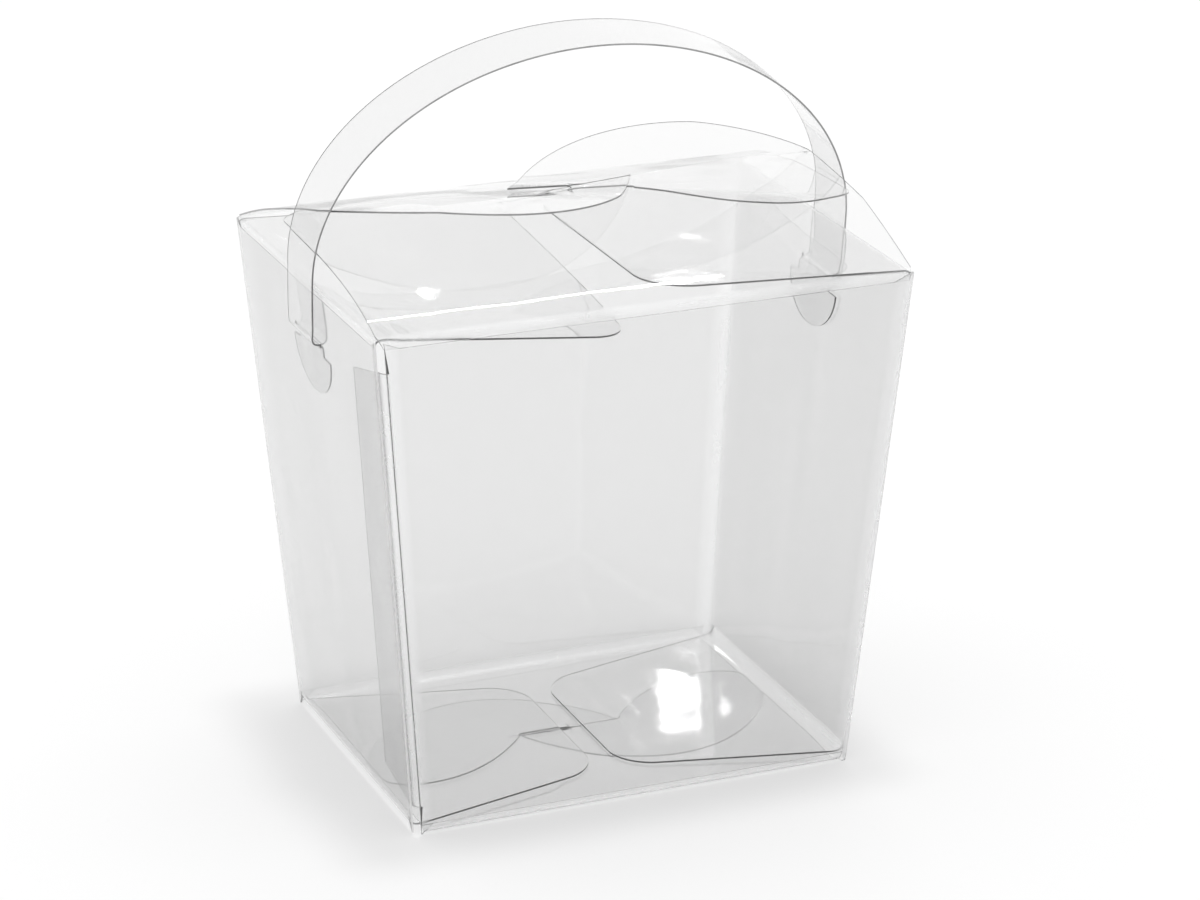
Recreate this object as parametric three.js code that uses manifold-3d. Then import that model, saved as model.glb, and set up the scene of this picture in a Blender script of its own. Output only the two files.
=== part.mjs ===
// A clear folding box with a tent-shaped lid and a carrying strap, in millimetres, +Z up.
// One die-cut sheet makes the walls and all the flaps, and a loose strap makes the handle.
// The origin is the middle of the base, on the surface that the box stands on.
import * as THREE from "three";
import { mergeVertices } from "three/addons/utils/BufferGeometryUtils.js";
import Module from "manifold-3d";

const wasm = await Module();
wasm.setup();

// Sheet and clearances
const SHEET = 0.3; // thickness of the clear sheet
const CREASE_GAP = 0.3; // left open at each crease and cut line
const LAYER_GAP = 0.15; // between the sheets that lie on each other in the base
const GLUE_LINE = 0.1; // between the glue tab and the wall it is stuck to

// Body, measured over the outside of the sheet
const HEIGHT = 90;
const TOP_WIDTH = 95;
const TOP_DEPTH = 72;
const BASE_WIDTH = 80;
const BASE_DEPTH = 60;
const CORNER_FOLD = 1.5; // width of the soft fold along each upright corner
const TOP_FOLD = 1.1; // width of the fold round the top
const BASE_FOLD = 2; // width of the fold round the base

// Glue tab
const TAB_WIDTH = 12;
const TAB_END_CLEARANCE = 4; // from the base and the top of the wall to the tab
const TAB_TAPER = 3; // how much shorter the tab's free edge is at each end

// Lid lock: a hook that goes over the other flap, and a tuck that goes under it
const LID_SIDE_INSET = 0.4;
const LID_SLOPE = 0.42; // rise per millimetre at the crease, on the hook's side
const LID_RADIUS = 170; // of the curve by which that slope eases off
const LID_TUCK_RISE = 7; // final height on the tuck's side
const LID_TUCK_RUN = 14; // distance over which that side rises
const LID_TWIST_MARGIN = 18; // full hook height is reached this far in from the hook's side
const LID_MOUTH = 11; // from the middle to the open end of the slit
const LID_HOOK_REACH = 19.3; // past the middle
const LID_TUCK_REACH = 14;
const LID_TUCK_PEAK = 9; // from the side edge to the tuck's furthest point
const LID_TUCK_SHOULDER = 4; // depth of the tuck's rounded corner
const LID_STRAP_NOTCH = 2.4; // the hook's side edge is drawn in this far for the strap
const LID_STRAP_NOTCH_RUN = 16;
const HOOK_LIFT = 0.9; // the hook over the sheet that it crosses, upper face to upper face
const TUCK_DROP = 0.7; // the tuck under the sheet that covers it

const HOOK_CURVE = 0.85; // power of the hook's outline: half an ellipse has 0.5, a parabola 1

// Base lock, laid flat
const BASE_MOUTH = 9;
const BASE_HOOK_REACH = 17.2;
const BASE_TUCK_REACH = 12.6;
const BASE_TUCK_PEAK = 7.5;
const BASE_TUCK_SHOULDER = 4.2;
const BASE_STEP_RUN = 2.7; // width over which the flap steps from the inner to the outer layer
const BASE_RAMP = 10; // distance from the crease over which the inner side climbs a layer

// End flaps
const LID_END_MEETING_GAP = 4.5; // between the two free edges
const LID_END_MEETING_SHIFT = 1.3; // from the middle of the box to the middle of that gap
const LID_END_SIDE_INSET = 2; // at the crease, on each side
const LID_END_TAPER = 9.3; // degrees
const LID_END_RADIUS = 8;
const LID_LEFT_DIP = 5; // degrees that the left flap hangs into the box
const BASE_END_MEETING_GAP = 4.3;
const BASE_END_SIDE_INSET = 2.5;
const BASE_END_TAPER = 13.8; // degrees
const BASE_END_RADIUS = 6;

// Handle
const STRAP_WIDTH = 12.2;
const STRAP_RISE = 48; // from the slits to the middle of the strap's top
const STRAP_LEG = 12; // length of the straight part beside each wall
const STRAP_STAND_OFF = 0.7; // from the top of the wall to the strap's widest place
const STRAP_LEAN = 5.5; // degrees that the strap leans forward
const SLIT_DROP = 10; // from the top of the wall down to the slit
const SLIT_CLEARANCE = 0.25; // at each end of the slit
const SLIT_OPENING = 1;
const TONGUE_HEAD_WIDTH = 18;
const TONGUE_HEAD_DEPTH = 7.5;
const TONGUE_NECK = 2.5; // from the slit down to the head's shoulders
const TONGUE_NECK_WIDTH = 11.7;

// Numbers of steps along the curves
const LOCK_COLUMNS = 22;
const LOCK_ROWS = 7;
const CORNER_STEPS = 6;
const ARCH_STEPS = 48;

// Worked out from the sizes above
const MITRE = Math.tan(Math.PI / 8); // how an inside face shortens at a 45 degree turn
const CORNER_CUT = CORNER_FOLD / Math.SQRT2;
const TOP_CUT = TOP_FOLD / Math.SQRT2;
const BASE_CUT = BASE_FOLD / Math.SQRT2;
const FOLD_SHEET = SHEET * Math.SQRT2; // the sheet cut level through a 45 degree fold
const TOP_RIM = TOP_CUT + FOLD_SHEET; // from the outside of a wall to the inner edge of its top
const BASE_RIM = BASE_CUT + FOLD_SHEET;
const EDGE = 0.4; // least width of a sheet that runs out to a tip
const HALF_CREASE = CREASE_GAP / 2;
const SLIT_HEIGHT = HEIGHT - SLIT_DROP;

const mix = THREE.MathUtils.lerp;
const clamp = THREE.MathUtils.clamp;
const radians = THREE.MathUtils.degToRad;
const halfWidthAt = (z) => mix(BASE_WIDTH, TOP_WIDTH, z / HEIGHT) / 2;
const halfDepthAt = (z) => mix(BASE_DEPTH, TOP_DEPTH, z / HEIGHT) / 2;
const point = (x, y, z) => new THREE.Vector3(x, y, z);

// Joins two grids of points, the sheet's two faces, into one closed solid.
// rows[i][j] is a pair of points, one on each face.
function sheetSolid(rows) {
  const columns = rows[0].length;
  const faceSize = rows.length * columns;
  const positions = [0, 1].flatMap((face) => rows.flat().flatMap((pair) => pair[face].toArray()));
  const at = (face, i, j) => face * faceSize + i * columns + j;
  const triangles = [];
  const quad = (a, b, c, d) => triangles.push([a, b, c], [a, c, d]);
  for (let i = 0; i + 1 < rows.length; i += 1) {
    for (let j = 0; j + 1 < columns; j += 1) {
      quad(at(0, i, j), at(0, i, j + 1), at(0, i + 1, j + 1), at(0, i + 1, j));
      quad(at(1, i, j), at(1, i + 1, j), at(1, i + 1, j + 1), at(1, i, j + 1));
    }
    const last = columns - 1;
    quad(at(0, i, 0), at(0, i + 1, 0), at(1, i + 1, 0), at(1, i, 0));
    quad(at(0, i, last), at(1, i, last), at(1, i + 1, last), at(0, i + 1, last));
  }
  for (let j = 0; j + 1 < columns; j += 1) {
    const last = rows.length - 1;
    quad(at(0, 0, j), at(1, 0, j), at(1, 0, j + 1), at(0, 0, j + 1));
    quad(at(0, last, j), at(0, last, j + 1), at(1, last, j + 1), at(1, last, j));
  }
  return facingOut(positions, triangles);
}

// Turns all the faces round if the solid came out inside out.
function facingOut(positions, triangles) {
  const corner = (index) => new THREE.Vector3().fromArray(positions, index * 3);
  const volume = triangles.reduce((sum, [a, b, c]) => sum + corner(a).dot(corner(b).cross(corner(c))), 0);
  const turned = volume < 0 ? triangles.map(([a, b, c]) => [a, c, b]) : triangles;
  const geometry = new THREE.BufferGeometry();
  geometry.setAttribute("position", new THREE.Float32BufferAttribute(positions, 3));
  geometry.setIndex(turned.flat());
  return geometry;
}

function toManifold(geometry) {
  const bare = geometry.clone();
  bare.deleteAttribute("normal");
  bare.deleteAttribute("uv");
  const merged = mergeVertices(bare, 1e-4);
  return new wasm.Manifold(new wasm.Mesh({
    numProp: 3,
    vertProperties: new Float32Array(merged.attributes.position.array),
    triVerts: new Uint32Array(merged.index.array),
  }));
}

function subtract(geometry, tool) {
  const mesh = toManifold(geometry).subtract(toManifold(tool)).getMesh();
  const result = new THREE.BufferGeometry();
  result.setAttribute("position", new THREE.BufferAttribute(mesh.vertProperties, mesh.numProp));
  result.setIndex(new THREE.BufferAttribute(mesh.triVerts, 1));
  return result;
}

// Materials
function clearSheet(color) {
  return new THREE.MeshStandardMaterial({
    color,
    roughness: 0.08,
    metalness: 0,
    transparent: true,
    opacity: 0.35,
    side: THREE.DoubleSide,
  });
}

function piece(name, geometry, color) {
  geometry.computeVertexNormals();
  const mesh = new THREE.Mesh(geometry, clearSheet(color));
  mesh.name = name;
  return mesh;
}

// Walls: drawn as the front one, which faces -Y, and turned into place
function wallRows(halfLengthAt, distanceAt) {
  const levels = [
    { z: 0, inset: BASE_CUT, insideZ: 0, insideInset: BASE_RIM },
    { z: BASE_CUT, inset: 0, insideZ: BASE_CUT + MITRE * SHEET, insideInset: SHEET },
    { z: HEIGHT - TOP_CUT, inset: 0, insideZ: HEIGHT - TOP_CUT - MITRE * SHEET, insideInset: SHEET },
    { z: HEIGHT, inset: TOP_CUT, insideZ: HEIGHT, insideInset: TOP_RIM },
  ];
  return levels.map((level) => {
    const length = halfLengthAt(level.z);
    const distance = distanceAt(level.z);
    const end = CORNER_CUT / 2 + HALF_CREASE / Math.SQRT2;
    const lip = SHEET / Math.SQRT2;
    const outside = (fromEnd, fromFace, side) => point(
      side * (length - level.inset - fromEnd), -(distance - level.inset - fromFace), level.z);
    const inside = (fromEnd, fromFace, side) => point(
      side * (length - level.inset - fromEnd), -(distance - level.insideInset - fromFace), level.insideZ);
    const endFace = CORNER_CUT - end;
    const turn = CORNER_CUT + MITRE * SHEET;
    const thick = level.insideInset - level.inset;
    return [
      [outside(end, endFace, -1), inside(end + lip, endFace + lip - thick, -1)],
      [outside(CORNER_CUT, 0, -1), inside(turn, 0, -1)],
      [outside(CORNER_CUT, 0, 1), inside(turn, 0, 1)],
      [outside(end, endFace, 1), inside(end + lip, endFace + lip - thick, 1)],
    ];
  });
}

function wall(name, halfLengthAt, distanceAt, turn, slit, color) {
  let geometry = sheetSolid(wallRows(halfLengthAt, distanceAt));
  if (slit) {
    const cutter = new THREE.BoxGeometry(STRAP_WIDTH + 2 * SLIT_CLEARANCE, TOP_WIDTH / 2, SLIT_OPENING);
    cutter.translate(0, -distanceAt(SLIT_HEIGHT), SLIT_HEIGHT);
    geometry = subtract(geometry, cutter);
  }
  const mesh = piece(name, geometry, color);
  mesh.rotation.z = turn;
  return mesh;
}

// Glue tab: stuck inside the left wall, from the front corner
function glueTab() {
  const faceX = (z) => -(halfWidthAt(z) - SHEET - GLUE_LINE);
  const startY = (z) => -(halfDepthAt(z) - CORNER_CUT - SHEET);
  const column = (fromCorner, endCut) => {
    const low = BASE_CUT + TAB_END_CLEARANCE + endCut;
    const high = HEIGHT - TOP_CUT - TAB_END_CLEARANCE - endCut;
    return [low, high].map((z) => {
      const y = startY(z) + fromCorner;
      return [point(faceX(z), y, z), point(faceX(z) + SHEET, y, z)];
    });
  };
  return piece("glue_tab", sheetSolid([column(0, 0), column(TAB_WIDTH, TAB_TAPER)]), 0xdfe8ea);
}

// A sheet over a plan outline: columns at the given x, from near(x) to far(x), with its
// upper face at top(x, y)
function curvedSheet(columns, rowCount, near, far, top) {
  return sheetSolid(columns.map((x) => {
    const row = [];
    for (let i = 0; i <= rowCount; i += 1) {
      const y = mix(near(x), far(x), i / rowCount);
      const z = top(x, y);
      row.push([point(x, y, z), point(x, y, z - SHEET)]);
    }
    return row;
  }));
}

// Evenly turned steps, close together at both ends, where a rounded outline is steep
function roundedSteps(from, to, count) {
  return Array.from({ length: count + 1 }, (_, i) => (
    mix(from, to, (1 - Math.cos((Math.PI * i) / count)) / 2)));
}

function evenSteps(from, to, count) {
  return Array.from({ length: count + 1 }, (_, i) => mix(from, to, i / count));
}

// The lock's outlines in plan. The flap's crease is on the -Y side, y = 0 is the middle of the
// box, the hook is on the +X side and the tuck on the -X side.
function lockOutline(size) {
  const start = CREASE_GAP;
  const hookLeft = -size.mouth;
  const hookRight = size.hookSide;
  const crown = (hookLeft + hookRight) / 2;
  const half = (hookRight - hookLeft) / 2;
  const widest = half / Math.sqrt(1 - ((start + EDGE) / size.hookReach) ** (1 / HOOK_CURVE));
  const hookFar = (x) => size.hookReach * (1 - ((x - crown) / widest) ** 2) ** HOOK_CURVE;
  const tuckLeft = -size.tuckSide;
  const tuckRight = -size.mouth - size.mouthGap;
  const peak = tuckLeft + size.tuckPeak;
  const tuckFar = (x) => {
    if (x > peak) {
      const drop = size.tuckReach - start - EDGE;
      return size.tuckReach - drop * ((x - peak) / (tuckRight - peak)) ** 2;
    }
    const round = Math.sqrt(1 - ((peak - x) / size.tuckPeak) ** 2);
    return size.tuckReach - size.tuckShoulder * (1 - round);
  };
  return { start, hookLeft, hookRight, hookFar, tuckLeft, tuckRight, tuckFar };
}

// Lid lock flaps
const lidSide = TOP_WIDTH / 2 - LID_SIDE_INSET;
const lidRoot = TOP_RIM - FOLD_SHEET + CREASE_GAP; // from the wall's face to the flap's root
const lidOutline = lockOutline({
  mouth: LID_MOUTH,
  mouthGap: CREASE_GAP + EDGE,
  hookSide: lidSide - LID_STRAP_NOTCH,
  tuckSide: lidSide,
  hookReach: LID_HOOK_REACH,
  tuckReach: LID_TUCK_REACH,
  tuckPeak: LID_TUCK_PEAK,
  tuckShoulder: LID_TUCK_SHOULDER,
});

function lidTop(x, y) {
  const run = TOP_DEPTH / 2 + y;
  const hookSide = LID_SLOPE * run - run ** 2 / (2 * LID_RADIUS);
  const tuckSide = LID_TUCK_RISE * (1 - Math.exp(-run / LID_TUCK_RUN));
  const share = clamp((x + TOP_WIDTH / 2) / (TOP_WIDTH - LID_TWIST_MARGIN), 0, 1);
  return HEIGHT + mix(tuckSide, hookSide, share);
}

const otherLidTop = (x, y) => lidTop(-x, -y);
const lidHookTop = (x, y) => Math.max(lidTop(x, y), otherLidTop(x, y) + HOOK_LIFT);
const lidTuckTop = (x, y) => Math.min(lidTop(x, y), otherLidTop(x, y) - TUCK_DROP);

function lidLock(side, color) {
  const creaseY = -(TOP_DEPTH / 2 - lidRoot);
  const notchStart = lidSide - LID_STRAP_NOTCH;
  const far = (x) => {
    const into = Math.max(0, (x - notchStart) / LID_STRAP_NOTCH);
    return -CREASE_GAP - LID_STRAP_NOTCH_RUN * into;
  };
  const columns = [...evenSteps(-lidSide, notchStart, LOCK_COLUMNS), (notchStart + lidSide) / 2, lidSide];
  const flap = curvedSheet(columns, LOCK_ROWS, () => creaseY, far, lidTop);
  return lockPieces(`top_${side}`, flap, lidOutline, lidHookTop, lidTuckTop, LOCK_ROWS, color);
}

function lockPieces(name, flap, outline, hookTop, tuckTop, rowCount, color) {
  const start = () => outline.start;
  const hookColumns = roundedSteps(outline.hookLeft, outline.hookRight, LOCK_COLUMNS);
  const hook = curvedSheet(hookColumns, rowCount, start, outline.hookFar, hookTop);
  const tuckColumns = roundedSteps(outline.tuckLeft, outline.tuckRight, LOCK_COLUMNS);
  const tuck = curvedSheet(tuckColumns, rowCount, start, outline.tuckFar, tuckTop);
  const group = new THREE.Group();
  group.add(
    piece(`${name}_flap`, flap, color),
    piece(`${name}_hook`, hook, color),
    piece(`${name}_tuck`, tuck, color));
  return group;
}

// Base lock flaps: the same lock mirrored, lying flat in two layers
const layerPitch = SHEET + LAYER_GAP;
const outerLayer = SHEET;
const innerLayer = outerLayer + layerPitch;
const baseSide = BASE_WIDTH / 2 - BASE_RIM - CREASE_GAP;
const baseMouthGap = CREASE_GAP + BASE_STEP_RUN + CREASE_GAP;
const baseOutline = lockOutline({
  mouth: BASE_MOUTH,
  mouthGap: baseMouthGap,
  hookSide: baseSide,
  tuckSide: baseSide,
  hookReach: BASE_HOOK_REACH,
  tuckReach: BASE_TUCK_REACH,
  tuckPeak: BASE_TUCK_PEAK,
  tuckShoulder: BASE_TUCK_SHOULDER,
});

function baseTop(x, y) {
  const stepStart = BASE_MOUTH + CREASE_GAP;
  const side = 1 - clamp((x - stepStart) / BASE_STEP_RUN, 0, 1);
  const climb = clamp((BASE_DEPTH / 2 + y - BASE_RIM - CREASE_GAP) / BASE_RAMP, 0, 1);
  return outerLayer + layerPitch * side * climb;
}

function baseLock(side, color) {
  const creaseY = -(BASE_DEPTH / 2 - BASE_RIM - CREASE_GAP);
  const stepStart = BASE_MOUTH + CREASE_GAP;
  const cutStart = baseSide - CORNER_CUT;
  const rootY = (x) => creaseY + Math.max(0, Math.abs(x) - cutStart);
  const columns = [-baseSide, -cutStart, stepStart, stepStart + BASE_STEP_RUN, cutStart, baseSide];
  const flap = sheetSolid(columns.map((x) => [rootY(x), creaseY + BASE_RAMP, -CREASE_GAP].map((y) => {
    const z = baseTop(x, y);
    return [point(x, y, z), point(x, y, z - SHEET)];
  })));
  const pieces = lockPieces(
    `bottom_${side}`, flap, baseOutline, () => outerLayer, () => innerLayer, 1, color);
  mirrorAcrossX(pieces);
  return pieces;
}

// Mirrors each piece in x, and keeps its faces pointing out
function mirrorAcrossX(group) {
  for (const mesh of group.children) {
    const positions = mesh.geometry.attributes.position;
    const mirrored = Array.from(positions.array, (value, i) => (i % 3 === 0 ? -value : value));
    const order = mesh.geometry.index.array;
    const triangles = [];
    for (let i = 0; i < order.length; i += 3) triangles.push([order[i], order[i + 1], order[i + 2]]);
    mesh.geometry = facingOut(mirrored, triangles);
    mesh.geometry.computeVertexNormals();
  }
}

// End flaps: drawn flat along +X from the crease at the origin
function endFlap(name, length, halfWidth, taper, radius, color) {
  const slope = Math.tan(radians(taper));
  const rounding = evenSteps(0, Math.PI / 2, CORNER_STEPS).map((angle) => ({
    x: length - radius + radius * Math.sin(angle),
    cut: radius * (1 - Math.cos(angle)),
  }));
  const rows = [{ x: 0, cut: 0 }, ...rounding].map(({ x, cut }) => {
    const half = halfWidth - slope * x - cut;
    return [-half, half].map((y) => [point(x, y, 0), point(x, y, -SHEET)]);
  });
  return piece(name, sheetSolid(rows), color);
}

function placedEndFlap(flap, side, rootX, topZ, dip) {
  const group = new THREE.Group();
  flap.rotation.y = radians(dip);
  group.add(flap);
  group.rotation.z = side > 0 ? Math.PI : 0;
  group.position.set(side * rootX, 0, topZ);
  return group;
}

// A ribbon along a path in the XZ plane, with its own half width at each point
function ribbon(path) {
  return sheetSolid(path.map(({ x, z, half }, i) => {
    const before = path[Math.max(i - 1, 0)];
    const after = path[Math.min(i + 1, path.length - 1)];
    const along = point(after.x - before.x, 0, after.z - before.z).normalize();
    const offset = point(-along.z, 0, along.x).multiplyScalar(SHEET / 2);
    return [-half, half].map((y) => {
      const centre = point(x, y, z);
      return [centre.clone().add(offset), centre.clone().sub(offset)];
    });
  }));
}

// Strap: straight legs outside the end walls, joined by half an ellipse, leaning forward. Its feet
// stand outside the top of the walls, so that it can be lifted straight off.
const strapFoot = TOP_WIDTH / 2 + CREASE_GAP + SHEET / 2;

function handleStrap() {
  const footZ = SLIT_HEIGHT + SHEET / 2 + CREASE_GAP;
  const shoulderZ = SLIT_HEIGHT + STRAP_LEG;
  const shoulder = TOP_WIDTH / 2 + STRAP_STAND_OFF;
  const half = STRAP_WIDTH / 2;
  const arch = evenSteps(0, Math.PI, ARCH_STEPS).map((angle) => ({
    x: shoulder * Math.cos(angle),
    z: shoulderZ + (STRAP_RISE - STRAP_LEG) * Math.sin(angle),
    half,
  }));
  const path = [{ x: strapFoot, z: footZ, half }, ...arch, { x: -strapFoot, z: footZ, half }];
  const strap = piece("handle_strap", ribbon(path), 0xe4ecee);
  strap.geometry.translate(0, 0, -SLIT_HEIGHT);
  strap.rotation.x = radians(STRAP_LEAN);
  strap.position.z = SLIT_HEIGHT;
  return strap;
}

// Tongue: the strap's end, through the slit and hooked down inside the wall
function handleTongue(name, turn) {
  const insideX = (z) => halfWidthAt(z) - SHEET - CREASE_GAP - SHEET / 2;
  const shoulderZ = SLIT_HEIGHT - TONGUE_NECK;
  const headHalf = TONGUE_HEAD_WIDTH / 2;
  const neckHalf = TONGUE_NECK_WIDTH / 2;
  const tip = radians(8);
  const head = evenSteps(tip, Math.PI / 2, CORNER_STEPS).map((angle) => {
    const z = shoulderZ - TONGUE_HEAD_DEPTH * Math.cos(angle);
    return { x: insideX(z), z, half: headHalf * Math.sin(angle) };
  });
  const barbZ = shoulderZ + SHEET;
  const bendZ = SLIT_HEIGHT - SLIT_OPENING;
  const wallX = halfWidthAt(SLIT_HEIGHT);
  const neck = [
    { x: insideX(barbZ), z: barbZ },
    { x: insideX(bendZ), z: bendZ },
    { x: insideX(SLIT_HEIGHT) + SHEET / 2, z: SLIT_HEIGHT - SHEET / 2 },
    { x: wallX - SHEET, z: SLIT_HEIGHT },
    { x: strapFoot - SHEET / 2 - CREASE_GAP, z: SLIT_HEIGHT },
  ].map((place) => ({ ...place, half: neckHalf }));
  const tongue = piece(name, ribbon([...head, ...neck]), 0xe4ecee);
  tongue.rotation.z = turn;
  return tongue;
}

// The whole box
const box = new THREE.Group();
box.add(
  wall("front_wall", halfWidthAt, halfDepthAt, 0, false, 0xe6eef0),
  wall("right_wall", halfDepthAt, halfWidthAt, Math.PI / 2, true, 0xdde7ea),
  wall("back_wall", halfWidthAt, halfDepthAt, Math.PI, false, 0xe6eef0),
  wall("left_wall", halfDepthAt, halfWidthAt, -Math.PI / 2, true, 0xdde7ea),
  glueTab());

const lidBack = lidLock("back", 0xe9f0f2);
lidBack.rotation.z = Math.PI;
const baseBack = baseLock("back", 0xe2eaec);
baseBack.rotation.z = Math.PI;
box.add(lidLock("front", 0xe9f0f2), lidBack, baseLock("front", 0xe2eaec), baseBack);

const lidEndHalf = TOP_DEPTH / 2 - LID_END_SIDE_INSET;
const lidEndRoot = TOP_WIDTH / 2 - TOP_RIM - CREASE_GAP;
const lidEndLength = (side) => lidEndRoot - LID_END_MEETING_GAP / 2 - side * LID_END_MEETING_SHIFT;
const baseEndHalf = BASE_DEPTH / 2 - BASE_END_SIDE_INSET;
const baseEndRoot = BASE_WIDTH / 2 - BASE_RIM - LAYER_GAP;
const baseEndLength = baseEndRoot - BASE_END_MEETING_GAP / 2;
for (const [side, word] of [[-1, "left"], [1, "right"]]) {
  const lidEnd = endFlap(
    `top_${word}_end_flap`, lidEndLength(side), lidEndHalf, LID_END_TAPER, LID_END_RADIUS, 0xdfe8ea);
  const baseEnd = endFlap(
    `bottom_${word}_end_flap`, baseEndLength, baseEndHalf, BASE_END_TAPER, BASE_END_RADIUS, 0xd8e2e5);
  box.add(
    placedEndFlap(lidEnd, side, lidEndRoot, HEIGHT, side < 0 ? LID_LEFT_DIP : 0),
    placedEndFlap(baseEnd, side, baseEndRoot, innerLayer + layerPitch, 0));
}

box.add(handleStrap(), handleTongue("handle_tongue_right", 0), handleTongue("handle_tongue_left", Math.PI));

export default box;
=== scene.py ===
"""Clear folding box with a tent-shaped lid and a carrying strap, dressed for rendering."""

import math

import bpy
import numpy as np
from mathutils import Matrix, Vector


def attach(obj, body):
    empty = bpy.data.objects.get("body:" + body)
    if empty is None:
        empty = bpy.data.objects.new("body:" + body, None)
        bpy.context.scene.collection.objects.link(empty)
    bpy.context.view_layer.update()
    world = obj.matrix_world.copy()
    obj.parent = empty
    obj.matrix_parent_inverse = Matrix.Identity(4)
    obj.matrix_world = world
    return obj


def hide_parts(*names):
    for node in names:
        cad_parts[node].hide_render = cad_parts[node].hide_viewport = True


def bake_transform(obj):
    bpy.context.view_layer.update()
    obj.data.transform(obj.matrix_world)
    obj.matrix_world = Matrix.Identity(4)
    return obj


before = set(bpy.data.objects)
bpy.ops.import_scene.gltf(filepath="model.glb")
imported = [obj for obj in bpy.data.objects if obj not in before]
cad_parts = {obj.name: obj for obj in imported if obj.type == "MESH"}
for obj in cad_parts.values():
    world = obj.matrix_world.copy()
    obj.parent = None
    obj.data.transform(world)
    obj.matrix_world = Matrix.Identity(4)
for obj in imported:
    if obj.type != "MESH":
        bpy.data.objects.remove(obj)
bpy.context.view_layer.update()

bl_info = {
    "name": "Clear folding box",
    "version": (1, 0, 0),
    "blender": (4, 5, 0),
    "location": "View3D > Sidebar > Clear Box",
    "description": "Builds a clear folding box with a lock lid and a carrying strap",
    "category": "Add Mesh",
}

MM = 0.001
WALL_SEAM_TOP = 1.2 * MM  # the wall's sheet hands over to the flaps this far below the top
SEAM_LOCK = 1.9 * MM  # and this far above the base, on the walls with lock flaps
SEAM_END = 2.7 * MM  # and on the end walls, whose flaps lie a layer higher
SHEET_FACE = 0
CUT_FACE = 1

STRIP_TRIM = 0.15 * MM  # the upright folds stop this far short of the top and the base
TAB_GLUE_GAP = 0.1 * MM
TAB_END_DROP = 5.4 * MM  # the tab is this much shorter than the wall at its root, at either end
TAB_END_TAPER = 3 * MM  # and this much more at its free edge
WALL_WAVE_PITCH = 26 * MM
SLIT_CLEARANCE = 0.25 * MM  # beside the strap, on each side
WALL_CELLS = 36
CORNER_STEPS = 6
TAB_CELLS = 8
TAB_CORNER_STEPS = 4
SLIT_CELLS = range(12, 24)  # the wall's cells that the slit cuts

LID_SLOPE = 0.42  # rise per metre at the crease, on the hook's side
LID_RADIUS = 170 * MM  # of the curve by which that slope eases off
LID_TUCK_RISE = 7 * MM  # final height on the tuck's side
LID_TUCK_RUN = 14 * MM  # distance over which that side rises
LID_TWIST_MARGIN = 18 * MM  # full hook height is reached this far in from the hook's side
HOOK_CURVE = 0.85  # power of the hook's outline: half an ellipse has 0.5, a parabola 1
HOOK_LIFT = 0.9 * MM  # the hook rides this far above the other flap
TUCK_DROP = 0.7 * MM  # and the tuck this far below it
LOBE_BLEND = 0.3 * MM  # how softly the lobes leave their own flap's surface


def lerp(a, b, t):
    return a + (b - a) * t


def clamp(value, low, high):
    return max(low, min(high, value))


def smooth(t):
    t = clamp(t, 0.0, 1.0)
    return t * t * (3 - 2 * t)


def even(start, end, count):
    return [lerp(start, end, i / count) for i in range(count + 1)]


def rounded(start, end, count):
    """Steps that are close together at both ends, where a rounded outline is steep."""
    return [lerp(start, end, (1 - math.cos(math.pi * i / count)) / 2) for i in range(count + 1)]


def bezier(p0, p1, p2, t):
    return tuple(lerp(lerp(a, b, t), lerp(b, c, t), t) for a, b, c in zip(p0, p1, p2))


# Settings


def length(name, description, default):
    return bpy.props.FloatProperty(
        name=name, description=description, default=default, min=0.0, unit="LENGTH", precision=5
    )


def colour(name, description, default):
    return bpy.props.FloatVectorProperty(
        name=name, description=description, default=default, min=0.0, max=1.0, size=3, subtype="COLOR"
    )


class ClearBoxSizes(bpy.types.PropertyGroup):
    sheet: length("Sheet", "Thickness of the clear sheet", 0.3 * MM)
    height: length("Height", "From the surface that the box stands on to the top of the walls", 90 * MM)
    top_width: length("Top width", "Left to right at the top of the walls", 95 * MM)
    top_depth: length("Top depth", "Front to back at the top of the walls", 72 * MM)
    base_width: length("Base width", "Left to right at the base", 80 * MM)
    base_depth: length("Base depth", "Front to back at the base", 60 * MM)
    corner_radius: length("Corner radius", "Of the fold along each upright corner", 1.1 * MM)
    tab_width: length("Glue tab", "Width of the tab glued inside the left wall", 12 * MM)
    wall_wave: length("Wall wave", "How far the walls wander in and out of flat", 0.16 * MM)
    strap_width: length("Strap width", "Width of the carrying strap", 12.2 * MM)
    strap_rise: length("Strap rise", "From the slits to the middle of the strap's top", 48 * MM)
    strap_leg: length("Strap leg", "Straight part of the strap beside each wall", 12 * MM)
    strap_lean: bpy.props.FloatProperty(
        name="Strap lean",
        description="How far the strap leans forward",
        default=math.radians(5.5),
        subtype="ANGLE",
    )
    slit_height: length("Slit height", "From the base to the strap's slits", 80 * MM)
    left_dip: bpy.props.FloatProperty(
        name="Left flap dip",
        description="How far the left end flap hangs into the box",
        default=math.radians(5),
        subtype="ANGLE",
    )


class ClearBoxColours(bpy.types.PropertyGroup):
    sheet: colour("Sheet", "Tint of the clear sheet", (0.915, 0.915, 0.915))
    strap: colour("Strap", "Tint of the carrying strap", (0.86, 0.86, 0.86))
    # Painted shade: the dark grey of the sheet's cut edges.
    cut_edge: colour("Cut edge", "The sheet seen on its cut edge", (0.35, 0.35, 0.35))
    floor: colour("Floor", "The surface that the box stands on", (0.32, 0.32, 0.32))


def sizes():
    return bpy.context.scene.clear_box_sizes


def colours():
    return bpy.context.scene.clear_box_colours


# Meshes


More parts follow.
